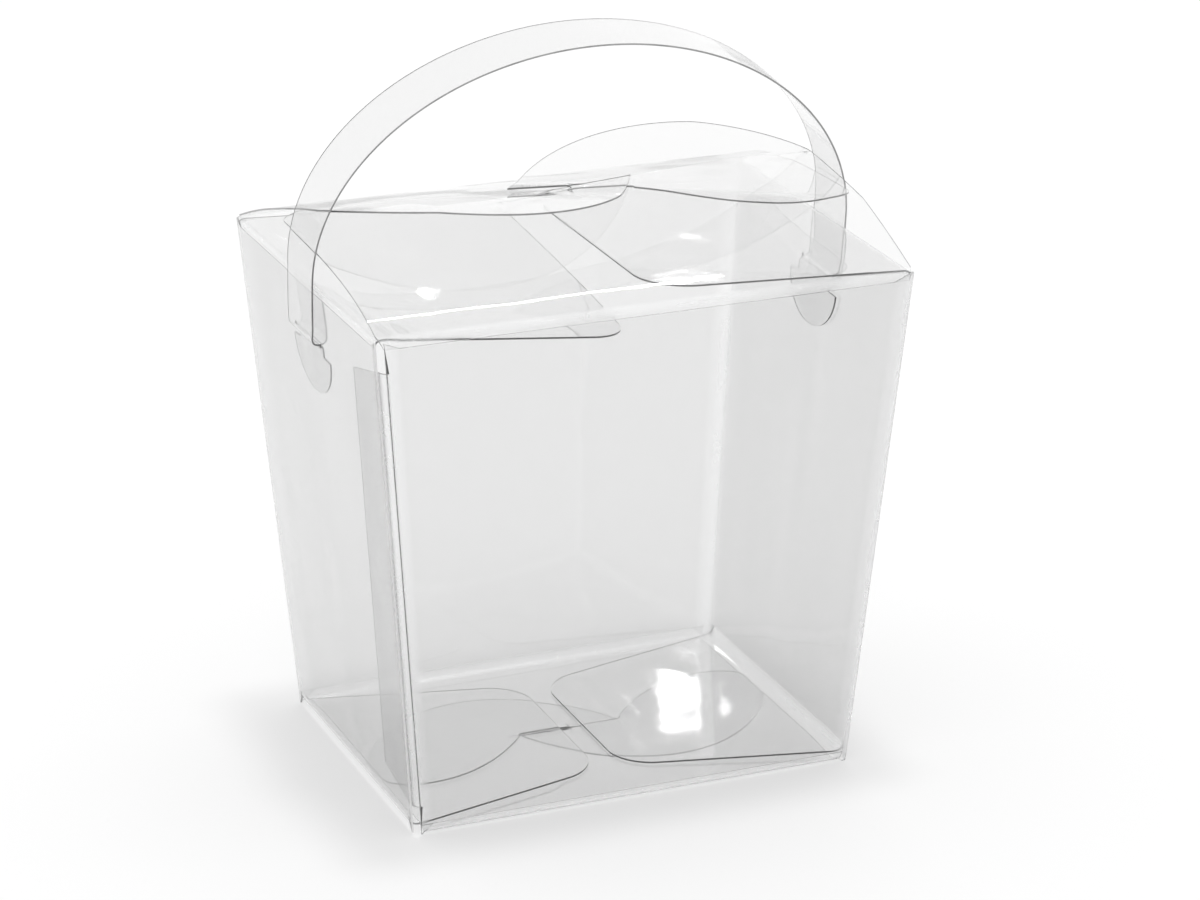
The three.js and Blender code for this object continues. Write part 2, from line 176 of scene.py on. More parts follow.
class Sheet:
    """The middle surface of a thin sheet, gathered patch by patch and then given its thickness."""

    def __init__(self):
        self.points = []
        self.creases = []
        self.seams = []
        self.faces = []
        self.index = {}

    def point(self, place, crease=0.0, seam=False):
        key = tuple(round(c * 1e7) for c in place)
        if key not in self.index:
            self.index[key] = len(self.points)
            self.points.append(tuple(place))
            self.creases.append(crease)
            self.seams.append(seam)
        return self.index[key]

    def grid(self, rows, hole=None):
        """rows[i][j] is a point number; hole(i, j) leaves out a cell."""
        for i in range(len(rows) - 1):
            for j in range(len(rows[0]) - 1):
                if hole and hole(i, j):
                    continue
                cell = [rows[i][j], rows[i + 1][j], rows[i + 1][j + 1], rows[i][j + 1]]
                corners = [c for n, c in enumerate(cell) if c != cell[n - 1]]
                if len(set(corners)) == len(corners) >= 3:
                    self.faces.append(corners)

    def normals(self):
        points = np.array(self.points)
        total = np.zeros_like(points)
        for face in self.faces:
            corners = points[face]
            normal = np.zeros(3)
            for n in range(len(face)):
                normal += np.cross(corners[n - 1] - corners[0], corners[n] - corners[0])
            total[face] += normal
        size = np.linalg.norm(total, axis=1, keepdims=True)
        return points, total / np.maximum(size, 1e-18)

    def build(self, name, thickness, sheet_material, edge_material):
        """A closed solid: both faces, and the cut edge all round."""
        points, normals = self.normals()
        count = len(points)
        solid = np.vstack([points + normals * thickness / 2, points - normals * thickness / 2])
        faces = list(self.faces) + [[c + count for c in reversed(face)] for face in self.faces]
        kinds = [SHEET_FACE] * len(faces)
        sides = {}
        for face in self.faces:
            for n, end in enumerate(face):
                sides[(face[n - 1], end)] = True
        for a, b in sides:
            if (b, a) not in sides:
                faces.append([b, a, a + count, b + count])
                kinds.append(SHEET_FACE if self.seams[a] and self.seams[b] else CUT_FACE)
        mesh = bpy.data.meshes.new(name)
        mesh.from_pydata([tuple(p) for p in solid], [], faces)
        mesh.materials.append(sheet_material)
        mesh.materials.append(edge_material)
        mesh.polygons.foreach_set("material_index", kinds)
        mesh.polygons.foreach_set("use_smooth", [True] * len(faces))
        crease = mesh.attributes.new("crease", "FLOAT", "POINT")
        crease.data.foreach_set("value", self.creases + self.creases)
        mesh.validate()
        mesh.update()
        mesh.set_sharp_from_angle(angle=math.radians(50))
        piece = bpy.data.objects.new(name, mesh)
        bpy.context.scene.collection.objects.link(piece)
        return piece


def wander(u, v, seed):
    """A smooth uneven wave between about -1 and 1, from sines that don't line up."""
    total = math.sin(1.7 * u + 2.3 * v + 1.3 * seed)
    total += 0.8 * math.sin(3.1 * u - 1.9 * v + 2.1 * seed)
    total += 0.6 * math.sin(2.2 * u + 4.7 * v + 0.7 * seed)
    total += 0.4 * math.sin(5.3 * u + 0.9 * v + 3.7 * seed)
    return total / 2.8


def half_width(z):
    size = sizes()
    return lerp(size.base_width, size.top_width, z / size.height) / 2


def half_depth(z):
    size = sizes()
    return lerp(size.base_depth, size.top_depth, z / size.height) / 2


# Materials


def new_group(name, inputs, outputs):
    group = bpy.data.node_groups.new(name, "ShaderNodeTree")
    for socket, kind, default in inputs:
        made = group.interface.new_socket(socket, in_out="INPUT", socket_type=kind)
        if default is not None:
            made.default_value = default
    for socket, kind in outputs:
        group.interface.new_socket(socket, in_out="OUTPUT", socket_type=kind)
    return group


def node(tree, kind, **settings):
    made = tree.nodes.new(kind)
    for key, value in settings.items():
        if key in made.inputs:
            made.inputs[key].default_value = value
        else:
            setattr(made, key, value)
    return made


def math_node(tree, operation, a, b):
    made = tree.nodes.new("ShaderNodeMath")
    made.operation = operation
    for socket, value in zip(made.inputs, (a, b)):
        if isinstance(value, (int, float)):
            socket.default_value = value
        else:
            tree.links.new(value, socket)
    return made.outputs[0]


def sheet_group():
    """Handling marks of clear sheet: faint waves, hazy scuffs, fine scratches and whitened creases."""
    group = new_group(
        "clear_sheet_marks",
        [
            ("Crease", "NodeSocketFloat", 0.0),
            ("Roughness", "NodeSocketFloat", 0.02),
            ("Scuffs", "NodeSocketFloat", 0.05),
            ("Crease haze", "NodeSocketFloat", 0.25),
            ("Wave", "NodeSocketFloat", 0.4),
        ],
        [("Roughness", "NodeSocketFloat"), ("Height", "NodeSocketFloat"), ("Haze", "NodeSocketFloat")],
    )
    link = group.links.new
    given = group.nodes.new("NodeGroupInput")
    made = group.nodes.new("NodeGroupOutput")
    place = group.nodes.new("ShaderNodeTexCoord").outputs["Object"]
    wave = node(group, "ShaderNodeTexNoise", Scale=45.0, Detail=2.0, Roughness=0.45)
    link(place, wave.inputs["Vector"])
    cloud = node(group, "ShaderNodeTexNoise", Scale=70.0, Detail=5.0, Roughness=0.6)
    link(place, cloud.inputs["Vector"])
    clouds = node(group, "ShaderNodeMapRange")
    clouds.inputs["From Min"].default_value = 0.55
    clouds.inputs["From Max"].default_value = 0.75
    link(cloud.outputs["Fac"], clouds.inputs["Value"])
    stretch = node(group, "ShaderNodeMapping")
    stretch.inputs["Scale"].default_value = (1.0, 1.0, 0.12)
    stretch.inputs["Rotation"].default_value = (0.5, 0.3, 0.2)
    link(place, stretch.inputs["Vector"])
    scratch = node(group, "ShaderNodeTexNoise", Scale=900.0, Detail=3.0, Roughness=0.7)
    link(stretch.outputs[0], scratch.inputs["Vector"])
    scratches = node(group, "ShaderNodeMapRange")
    scratches.inputs["From Min"].default_value = 0.66
    scratches.inputs["From Max"].default_value = 0.74
    link(scratch.outputs["Fac"], scratches.inputs["Value"])
    marks = math_node(group, "MAXIMUM", clouds.outputs[0], scratches.outputs[0])
    scuffed = math_node(group, "MULTIPLY", marks, given.outputs["Scuffs"])
    creased = math_node(group, "MULTIPLY", given.outputs["Crease"], given.outputs["Crease haze"])
    haze = math_node(group, "ADD", scuffed, creased)
    rough = math_node(group, "ADD", haze, given.outputs["Roughness"])
    height = math_node(group, "MULTIPLY", wave.outputs["Fac"], given.outputs["Wave"])
    link(rough, made.inputs["Roughness"])
    link(height, made.inputs["Height"])
    link(haze, made.inputs["Haze"])
    return group


CREASE_PAINTED_HIGHLIGHT = 0.035  # painted highlight: the creases glow faintly, in place of the lamps' highlights along the curved folds
WALL_SHADE_TINT = 0.74  # painted shade: share of the tint that a wall has left where it is seen at a slant
WALL_SHADE_GAIN = 2.2
WALL_SHADE_BASE = 0.14


def tint_with_painted_shade(tree, tint):
    """The sheet's tint with painted shade: deeper on the walls, and most of all where they are seen at a
    slant.
    """
    shaded_tint = node(tree, "ShaderNodeMix", data_type="RGBA")
    shaded_tint.inputs["A"].default_value = (*tint, 1)
    shaded_tint.inputs["B"].default_value = (*[WALL_SHADE_TINT * c for c in tint], 1)
    facing = node(tree, "ShaderNodeLayerWeight", Blend=0.5)
    upright = node(tree, "ShaderNodeAttribute", attribute_name="upright")
    squared = math_node(tree, "POWER", facing.outputs["Facing"], 2.0)
    gained = math_node(tree, "MULTIPLY", squared, WALL_SHADE_GAIN)
    share = math_node(tree, "ADD", gained, WALL_SHADE_BASE)
    share = math_node(tree, "MULTIPLY", share, upright.outputs["Fac"])
    tree.links.new(share, shaded_tint.inputs["Factor"])
    return shaded_tint.outputs["Result"]


def clear_material(name, tint, group, scuffs, wave):
    """Clear sheet that bends light as it does, and lets the lamps through to what is behind it."""
    material = bpy.data.materials.new(name)
    material.use_nodes = True
    tree = material.node_tree
    tree.nodes.clear()
    link = tree.links.new
    mask = node(tree, "ShaderNodeAttribute", attribute_name="crease")
    marks = tree.nodes.new("ShaderNodeGroup")
    marks.node_tree = group
    marks.inputs["Scuffs"].default_value = scuffs
    marks.inputs["Wave"].default_value = wave
    link(mask.outputs["Fac"], marks.inputs["Crease"])
    colour_mix = node(tree, "ShaderNodeMix", data_type="RGBA")
    # Painted shade on the walls, carried in the sheet's tint.
    link(tint_with_painted_shade(tree, tint), colour_mix.inputs["A"])
    colour_mix.inputs["B"].default_value = (0.98, 0.985, 0.99, 1)
    link(marks.outputs["Haze"], colour_mix.inputs["Factor"])
    bump = node(tree, "ShaderNodeBump", Strength=0.35, Distance=0.0006)
    link(marks.outputs["Height"], bump.inputs["Height"])
    glass = node(tree, "ShaderNodeBsdfPrincipled")
    glass.inputs["Transmission Weight"].default_value = 1.0
    glass.inputs["IOR"].default_value = 1.55
    glass.inputs["Metallic"].default_value = 0.0
    link(colour_mix.outputs["Result"], glass.inputs["Base Color"])
    link(marks.outputs["Roughness"], glass.inputs["Roughness"])
    link(bump.outputs[0], glass.inputs["Normal"])
    # Painted highlight: the crease mask gives the creases a faint glow.
    whitened = node(tree, "ShaderNodeMix", data_type="RGBA")
    whitened.inputs["A"].default_value = (0, 0, 0, 1)
    whitened.inputs["B"].default_value = (*[CREASE_PAINTED_HIGHLIGHT] * 3, 1)
    link(mask.outputs["Fac"], whitened.inputs["Factor"])
    link(whitened.outputs["Result"], glass.inputs["Emission Color"])
    glass.inputs["Emission Strength"].default_value = 1.0
    lamp_path = node(tree, "ShaderNodeLightPath")
    through = node(tree, "ShaderNodeBsdfTransparent")
    slant = node(tree, "ShaderNodeFresnel", IOR=1.2)
    dimmed = node(tree, "ShaderNodeMix", data_type="RGBA")
    dimmed.inputs["A"].default_value = (1, 1, 1, 1)
    dimmed.inputs["B"].default_value = (0.1, 0.1, 0.1, 1)
    link(slant.outputs[0], dimmed.inputs["Factor"])
    link(dimmed.outputs["Result"], through.inputs["Color"])
    mix = node(tree, "ShaderNodeMixShader")
    link(lamp_path.outputs["Is Shadow Ray"], mix.inputs["Fac"])
    link(glass.outputs[0], mix.inputs[1])
    link(through.outputs[0], mix.inputs[2])
    out = node(tree, "ShaderNodeOutputMaterial")
    link(mix.outputs[0], out.inputs["Surface"])
    return material


def edge_material(name, tint):
    """The cut edge, where the sheet gathers the light along its own length and looks dark: painted
    shade, a dark grey, stands in for that.
    """
    material = bpy.data.materials.new(name)
    material.use_nodes = True
    tree = material.node_tree
    link = tree.links.new
    paint = tree.nodes["Principled BSDF"]
    place = node(tree, "ShaderNodeTexCoord").outputs["Object"]
    grain = node(tree, "ShaderNodeTexNoise", Scale=400.0, Detail=3.0, Roughness=0.6)
    link(place, grain.inputs["Vector"])
    ramp = node(tree, "ShaderNodeMix", data_type="RGBA")
    ramp.inputs["A"].default_value = (*[0.6 * c for c in tint], 1)
    ramp.inputs["B"].default_value = (*[min(1, 1.5 * c) for c in tint], 1)
    link(grain.outputs["Fac"], ramp.inputs["Factor"])
    # Painted light: where lit_edge is set, the edge turns pale.
    lit = node(tree, "ShaderNodeAttribute", attribute_name="lit_edge")
    shown = node(tree, "ShaderNodeMix", data_type="RGBA")
    link(lit.outputs["Fac"], shown.inputs["Factor"])
    link(ramp.outputs["Result"], shown.inputs["A"])
    shown.inputs["B"].default_value = (0.9, 0.9, 0.9, 1)
    link(shown.outputs["Result"], paint.inputs["Base Color"])
    paint.inputs["Roughness"].default_value = 0.25
    return material


def materials():
    """Makes the finishes once, and hands them out by name after that."""
    if "sheet_cut_edge" not in bpy.data.materials:
        tint = colours()
        group = sheet_group()
        clear_material("sheet_plastic", tint.sheet, group, 0.05, 0.5)
        clear_material("strap_plastic", tint.strap, group, 0.07, 0.3)
        edge_material("sheet_cut_edge", tint.cut_edge)
    return {
        "clear_sheet": bpy.data.materials["sheet_plastic"],
        "clear_strap": bpy.data.materials["strap_plastic"],
        "cut_edge": bpy.data.materials["sheet_cut_edge"],
    }


def finish_piece(sheet, name, thickness, slot):
    finishes = materials()
    piece = sheet.build(name, thickness, finishes[slot], finishes["cut_edge"])
    return piece


def paint_edge_light(piece, shares):
    """How far each cut edge is painted pale, as painted light, rather than dark, point by point."""
    bright = piece.data.attributes.new("lit_edge", "FLOAT", "POINT")
    bright.data.foreach_set("value", shares)


# Sleeve


class CLEARBOX_OT_sleeve(bpy.types.Operator):
    """The four walls and the glue tab, folded from one strip of clear sheet"""

    bl_idname = "clearbox.sleeve"
    bl_label = "Walls and glue tab"

    def execute(self, context):
        size = sizes()
        half = size.sheet / 2
        radius = size.corner_radius
        levels = self.levels(size)
        strip = Sheet()
        columns = []

        def column(place, low, high, crease=0.0, wave=None, seam=False):
            numbers = []
            for n, share in enumerate(levels):
                z = lerp(low, high, share)
                x, y = place(z)
                if wave:
                    dx, dy = wave(z)
                    window = smooth(share * 8) * smooth((1 - share) * 8)
                    x += dx * window
                    y += dy * window
                at_seam = seam and n in (0, len(levels) - 1)
                numbers.append(strip.point((x, y, z), crease, at_seam))
            columns.append(numbers)

        # Glue tab, inside the left wall, from its free edge to the corner
        def tab_x(z):
            return -(half_width(z) - half - size.sheet - TAB_GLUE_GAP)

        for share in even(1, 0, TAB_CELLS):
            cut = TAB_END_DROP + TAB_END_TAPER * share
            width = size.tab_width * share
            column(
                lambda z: (tab_x(z), -(half_depth(z) - half - radius) + width),
                cut,
                size.height - cut,
                crease=smooth(1 - share * TAB_CELLS),
            )
        for angle in even(0, math.pi / 2, TAB_CORNER_STEPS)[1:]:
            column(
                lambda z: (
                    tab_x(z) + radius * (1 - math.cos(angle)),
                    -(half_depth(z) - half - radius) - radius * math.sin(angle),
                ),
                TAB_END_DROP,
                size.height - TAB_END_DROP,
                crease=1.0,
            )

        # Walls, each followed by its corner
        walls = [
            (half_width, half_depth, (1, 0), (0, -1), SEAM_LOCK, 1),
            (half_depth, half_width, (0, 1), (1, 0), SEAM_END, 2),
            (half_width, half_depth, (-1, 0), (0, 1), SEAM_LOCK, 3),
            (half_depth, half_width, (0, -1), (-1, 0), SEAM_END, 4),
        ]
        for run, distance, along, outward, low, seed in walls:
            slit = seed in (2, 4)
            half_slit = size.strap_width / 2 + SLIT_CLEARANCE
            for share in even(-1, 1, WALL_CELLS):

                def place(z, share=share):
                    reach = (run(z) - half - radius) * share
                    out = distance(z) - half
                    if slit and abs(share) < 0.35:
                        reach = half_slit * 3 * share if abs(share) <= 1 / 3 + 1e-6 else reach
                    return (
                        along[0] * reach + outward[0] * out,
                        along[1] * reach + outward[1] * out,
                    )

                def wave(z, share=share):
                    amount = size.wall_wave * wander(2.6 * share + seed, z / WALL_WAVE_PITCH, seed)
                    amount *= smooth((1 - abs(share)) * 6)
                    return outward[0] * amount, outward[1] * amount

                edge = smooth((abs(share) - 0.97) / 0.03)
                bottom = lerp(low, STRIP_TRIM, edge)
                top = lerp(size.height - WALL_SEAM_TOP, size.height - STRIP_TRIM, edge)
                column(place, bottom, top, crease=edge, wave=wave, seam=edge < 0.5)
            if seed == 4:
                break
            for angle in even(0, math.pi / 2, CORNER_STEPS)[1:-1]:
                turned = (math.sin(angle), math.cos(angle))
                column(
                    lambda z: tuple(
                        along[k] * (run(z) - half - radius * (1 - turned[0]))
                        + outward[k] * (distance(z) - half - radius * (1 - turned[1]))
                        for k in (0, 1)
                    ),
                    STRIP_TRIM,
                    size.height - STRIP_TRIM,
                    crease=1.0,
                )
        slit_row = levels.index(self.slit_share(size, -0.5))
        slit_columns = self.slit_columns()
        strip.grid(columns, hole=lambda i, j: j == slit_row and i in slit_columns)
        piece = finish_piece(strip, "sleeve", size.sheet, "clear_sheet")
        # Marks the walls for the painted shade in the sheet's tint.
        upright = piece.data.attributes.new("upright", "FLOAT", "POINT")
        upright.data.foreach_set("value", [1.0] * len(piece.data.vertices))
        # Painted light: the strip's cut edge at its end, by the front-left corner, is painted pale.
        lit = np.zeros(len(piece.data.vertices))
        for number in columns[-1]:
            lit[[number, number + len(strip.points)]] = 1.0
        paint_edge_light(piece, lit)
        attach(piece, "shell")
        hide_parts("front_wall", "back_wall", "left_wall", "right_wall", "glue_tab")
        return {"FINISHED"}

    @staticmethod
    def slit_share(size, step):
        low, high = SEAM_END, size.height - WALL_SEAM_TOP
        return (size.slit_height + step * MM - low) / (high - low)

    def levels(self, size):
        """Shares of the height, with a row at the lower and the upper edge of the slits."""
        below = self.slit_share(size, -0.5)
        above = self.slit_share(size, 0.5)
        return [*even(0, below, 44), *even(above, 1, 5)]

    @staticmethod
    def slit_columns():
        """The columns of cells that the slits cut, in the right wall and the left wall."""
        tab = TAB_CELLS + 1 + TAB_CORNER_STEPS
        wall = WALL_CELLS + 1 + CORNER_STEPS - 1
        return {start + n for start in (tab + wall, tab + 3 * wall) for n in SLIT_CELLS}


# Lock flaps


LOBE_GAP = 0.7 * MM  # from the slit's closed end to the tuck, and the tuck's reach there
OUTLINE_MARGIN = 1.0004  # keeps the hook's outline from closing to nothing at its ends
LID_LAND = 1.6 * MM  # from the wall to where the lid's fold ends
BASE_LAND = 1.9 * MM  # and the same for the base
STRAP_NOTCH = 16 * MM  # length of the notch in the hook's side for the strap


def lock_outline(size):
    """The outlines of a lock flap's hook and tuck, in plan."""
    hook_left = -size["mouth"]
    hook_right = size["hook_side"]
    crown = (hook_left + hook_right) / 2
    half = (hook_right - hook_left) / 2
    widest = half * OUTLINE_MARGIN
    peak = -size["tuck_side"] + size["tuck_peak"]
    tuck_right = -size["mouth"] - LOBE_GAP

    def hook_far(x):
        return size["hook_reach"] * max(0.0, 1 - ((x - crown) / widest) ** 2) ** HOOK_CURVE

    def tuck_far(x):
        if x > peak:
            share = (x - peak) / (tuck_right - peak)
            return size["tuck_reach"] - (size["tuck_reach"] - LOBE_GAP) * share**2
        round_ = math.sqrt(max(0.0, 1 - ((peak - x) / size["tuck_peak"]) ** 2))
        return size["tuck_reach"] - size["tuck_shoulder"] * (1 - round_)

    return hook_left, hook_right, hook_far, tuck_right, tuck_far


LID = {
    "mouth": 11 * MM,
    "hook_side": 44.7 * MM,
    "tuck_side": 47.1 * MM,
    "hook_reach": 19.3 * MM,
    "tuck_reach": 14 * MM,
    "tuck_peak": 9 * MM,
    "tuck_shoulder": 4 * MM,
}


def lid_top(x, y):
    """Height of the front lid flap's upper face."""
    size = sizes()
    run = max(0.0, size.top_depth / 2 + y)
    hook_side = LID_SLOPE * run - run**2 / (2 * LID_RADIUS)
    tuck_side = LID_TUCK_RISE * (1 - math.exp(-run / LID_TUCK_RUN))
    share = clamp((x + size.top_width / 2) / (size.top_width - LID_TWIST_MARGIN), 0, 1)
    return size.height + lerp(tuck_side, hook_side, share)


def lid_other(x, y):
    return lid_top(-x, -y)


def soft_max(a, b, blend):
    return (a + b + math.sqrt((a - b) ** 2 + blend**2)) / 2


def lid_hook(x, y):
    return soft_max(lid_top(x, y), lid_other(x, y) + HOOK_LIFT, LOBE_BLEND)


def lid_tuck(x, y):
    return -soft_max(-lid_top(x, y), TUCK_DROP - lid_other(x, y), LOBE_BLEND)


def lock_sheet(columns, near_rows, far, heights, outline, slit_gap):
    """One lock flap: its root, its body, the hook on the +X side and the tuck on the -X side."""
    hook_left, hook_right, hook_far, tuck_right, tuck_far = outline
    body_top, hook_top, tuck_top = heights
    flap = Sheet()
    body = []
    hook = []
    tuck = []
    swap = 0.5 * MM
    for x in columns:
        joined = x >= -1e-9 or x <= tuck_right + 1e-9
        gap = 0.0 if joined else slit_gap * math.sqrt(clamp(-x / (2 * MM), 0, 1))
        end = min(far(x), -gap)
        rows = near_rows(x)
        start_y, start_z = rows[-1][1], rows[-1][2]
        numbers = [flap.point(p, crease, seam) for *p, crease, seam in rows]
        for share in even(0, 1, 22)[1:]:
            y = lerp(start_y, end, share)
            z = body_top(x, y) + (start_z - body_top(x, start_y)) * (1 - share)
            if joined and end > -1e-9 and y > -swap:
                lobe = hook_top if x > 0 else tuck_top
                z = lerp(z, (body_top(x, 0) + lobe(x, 0)) / 2, (y + swap) / swap)
            numbers.append(flap.point((x, y, z)))
        body.append(numbers)
        if hook_left - 1e-9 <= x <= hook_right + 1e-9:
            lobe_rows(flap, hook, x, gap, hook_far(x), body_top, hook_top, swap, joined)
        if x <= tuck_right + 1e-9:
            lobe_rows(flap, tuck, x, 0.0, tuck_far(x), body_top, tuck_top, swap, joined)
    flap.grid(body)
    flap.grid(hook)
    flap.grid(tuck)
    return flap


def lobe_rows(flap, rows, x, start, far, body_top, lobe_top, swap, joined):
    numbers = []
    for share in [0, 0.02, *even(0.05, 1, 18)]:
        y = lerp(start, far, share)
        z = lobe_top(x, y)
        if joined and y < swap:
            z = lerp((body_top(x, 0) + lobe_top(x, 0)) / 2, z, y / swap)
        numbers.append(flap.point((x, y, z)))
    rows.append(numbers)


def turned_over(sheet, turn):
    """The same sheet with every point moved by turn, which keeps its faces the right way round."""
    sheet.points = [turn(p) for p in sheet.points]
    return sheet


class CLEARBOX_OT_lid_locks(bpy.types.Operator):
    """The front and back lid flaps, hooked over and under each other along the ridge"""

    bl_idname = "clearbox.lid_locks"
    bl_label = "Lid lock flaps"

    def execute(self, context):
        size = sizes()
        half = size.sheet / 2
        side = LID["tuck_side"]
        notch = LID["hook_side"]
        wall_z = size.height - WALL_SEAM_TOP
        outline = lock_outline(LID)
        hook_left, hook_right, _, tuck_right, _ = outline
        hook_columns = rounded(hook_left, 0, 14)[:-1] + rounded(0, hook_right, 40)[:-1]
        columns = rounded(-side, tuck_right, 32) + hook_columns + even(notch, side, 4)

        def near_rows(x):
            squeeze = (half_width(wall_z) - size.corner_radius - 0.1 * MM) / side
            wall_y = -(half_depth(wall_z) - half)
            land_y = -(half_depth(size.height) - LID_LAND)
            land_z = lid_top(x, land_y) - half
            slope = (lid_top(x, land_y + MM) - lid_top(x, land_y)) / MM
            corner_z = land_z - slope * (land_y - wall_y)
            rows = []
            for share in even(0, 1, 8):
                _, y, z = bezier(
                    (0, wall_y, wall_z), (0, wall_y, corner_z), (0, land_y, land_z), share
                )
                wide = lerp(squeeze, 1, share)
                crease = 1 - abs(2 * share - 1) ** 2
                rows.append((x * wide, y, z, crease, share == 0))
            return rows

        def far(x):
            return -STRAP_NOTCH * clamp((x - notch) / (side - notch), 0, 1)

        def middle(top):
            return lambda x, y: top(x, y) - half

        heights = (middle(lid_top), middle(lid_hook), middle(lid_tuck))
        for word, turned in (("front", False), ("back", True)):
            flap = lock_sheet(columns, near_rows, far, heights, outline, 0.35 * MM)
            if turned:
                turned_over(flap, lambda p: (-p[0], -p[1], p[2]))
            piece = finish_piece(flap, f"lid_{word}", size.sheet, "clear_sheet")
            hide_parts(*(f"top_{word}_{part}" for part in ("flap", "hook", "tuck")))
            turn = 1 if turned else -1
            start = (0, turn * half_depth(wall_z), wall_z)
            end = (0, turn * (half_depth(size.height) - LID_LAND), size.height + 0.6 * MM)
            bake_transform(piece)
        return {"FINISHED"}


BASE = {
    "mouth": 9 * MM,
    "hook_side": 37.6 * MM,
    "tuck_side": 37.6 * MM,
    "hook_reach": 17.2 * MM,
    "tuck_reach": 12.6 * MM,
    "tuck_peak": 7.5 * MM,
    "tuck_shoulder": 4.2 * MM,
}
LAYER = 0.45 * MM  # from one layer of the base to the next
LAYER_CLIMB = 10 * MM  # run over which a base flap climbs to its layer
LAYER_STEP = 9.3 * MM  # where it starts to step down again beside the hook
LAYER_STEP_RUN = 2.7 * MM


class CLEARBOX_OT_base_locks(bpy.types.Operator):
    """The front and back base flaps, locked flat into each other"""

    bl_idname = "clearbox.base_locks"
    bl_label = "Base lock flaps"

    def execute(self, context):
        size = sizes()
        half = size.sheet / 2
        side = BASE["tuck_side"]
        outline = lock_outline(BASE)
        hook_left, hook_right, _, tuck_right, _ = outline
        hook_columns = rounded(hook_left, 0, 10)[:-1] + rounded(0, hook_right, 30)
        columns = rounded(-side, tuck_right, 24) + hook_columns
        root_y = -(half_depth(0) - BASE_LAND)

        def layer(x, y):
            across = 1 - smooth((x - LAYER_STEP) / LAYER_STEP_RUN)
            climb = smooth((y - root_y) / LAYER_CLIMB)
            return LAYER * across * climb

        def body(x, y):
            return half + layer(x, y)

        def hook(x, y):
            return half

        def tuck(x, y):
            return half + LAYER

        def near_rows(x):
            squeeze = (half_width(SEAM_LOCK) - size.corner_radius - 0.2 * MM) / side
            wall_y = -(half_depth(SEAM_LOCK) - half)
            foot_y = -(half_depth(0) - half)
            rows = []
            for share in even(0, 1, 8):
                _, y, z = bezier((0, wall_y, SEAM_LOCK), (0, foot_y, half), (0, root_y, half), share)
                wide = lerp(squeeze, 1, share)
                rows.append((x * wide, y, z, 1 - abs(2 * share - 1) ** 2, share == 0))
            return rows

        for word, turned in (("front", False), ("back", True)):
            flap = lock_sheet(
                columns, near_rows, lambda x: 0.0, (body, hook, tuck), outline, 0.3 * MM
            )
            turn = 1 if turned else -1
            flap.points = [(turn * x, -turn * y, z) for x, y, z in flap.points]
            flap.faces = [list(reversed(face)) for face in flap.faces]
            piece = finish_piece(flap, f"base_{word}", size.sheet, "clear_sheet")
            # Painted light: the base flap's cut edges are painted half pale.
            paint_edge_light(piece, [0.5] * len(piece.data.vertices))
            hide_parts(*(f"bottom_{word}_{part}" for part in ("flap", "hook", "tuck")))
            start = (0, turn * half_depth(0), SEAM_LOCK)
            end = (0, turn * (half_depth(0) - BASE_LAND), 0)
            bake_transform(piece)
        return {"FINISHED"}


# End flaps


LID_END_GAP = 4.5 * MM  # between the two lid end flaps
LID_END_SHIFT = 1.3 * MM  # the gap's middle lies this far to the right
LID_END = {
    "width": 34 * MM,
    "taper": math.radians(9.3),
    "radius": 8 * MM,
    "squeeze": 1.015,
}
BASE_END = {
    "width": 27.5 * MM,
    "taper": math.radians(13.8),
    "radius": 6 * MM,
    "squeeze": 1.02,
}
BASE_END_GAP = 4.3 * MM  # between the two base end flaps
LID_END_ROOT = 1.5 * MM  # from the wall to where the lid end flap's fold ends
BASE_END_ROOT = 2 * MM  # and the same for the base
DIP_SPREAD = 22 * MM  # the dip grows from none to twice its angle over twice this width
FREE_EDGE_SKEW = 400 * MM  # the left flap's length changes by its width over this


def end_flap(root, form, reach, fold):
    """An end flap drawn along +X from its crease, with the fold that joins it to its wall."""
    flap = Sheet()
    width = form["width"]
    radius = form["radius"]
    slope = math.tan(form["taper"])
    rows = []
    for (x, z, crease, seam), wide in zip(fold, even(form["squeeze"], 1, len(fold) - 1)):
        rows.append(
            [flap.point((x, width * wide * s, z), crease, seam) for s in even(-1, 1, 30)]
        )
    straight = even(0, reach - radius, 24)[1:]
    bend = [reach - radius + radius * math.sin(a) for a in even(0, math.pi / 2, 14)[1:]]
    for x in straight + bend:
        into = clamp((x - (reach - radius)) / radius, 0, 1)
        cut = radius * (1 - math.sqrt(max(0.0, 1 - into**2)))
        half = width - slope * x - cut
        rows.append([flap.point((root + x, half * s, fold[-1][1])) for s in even(-1, 1, 30)])
    flap.grid(rows)
    return flap


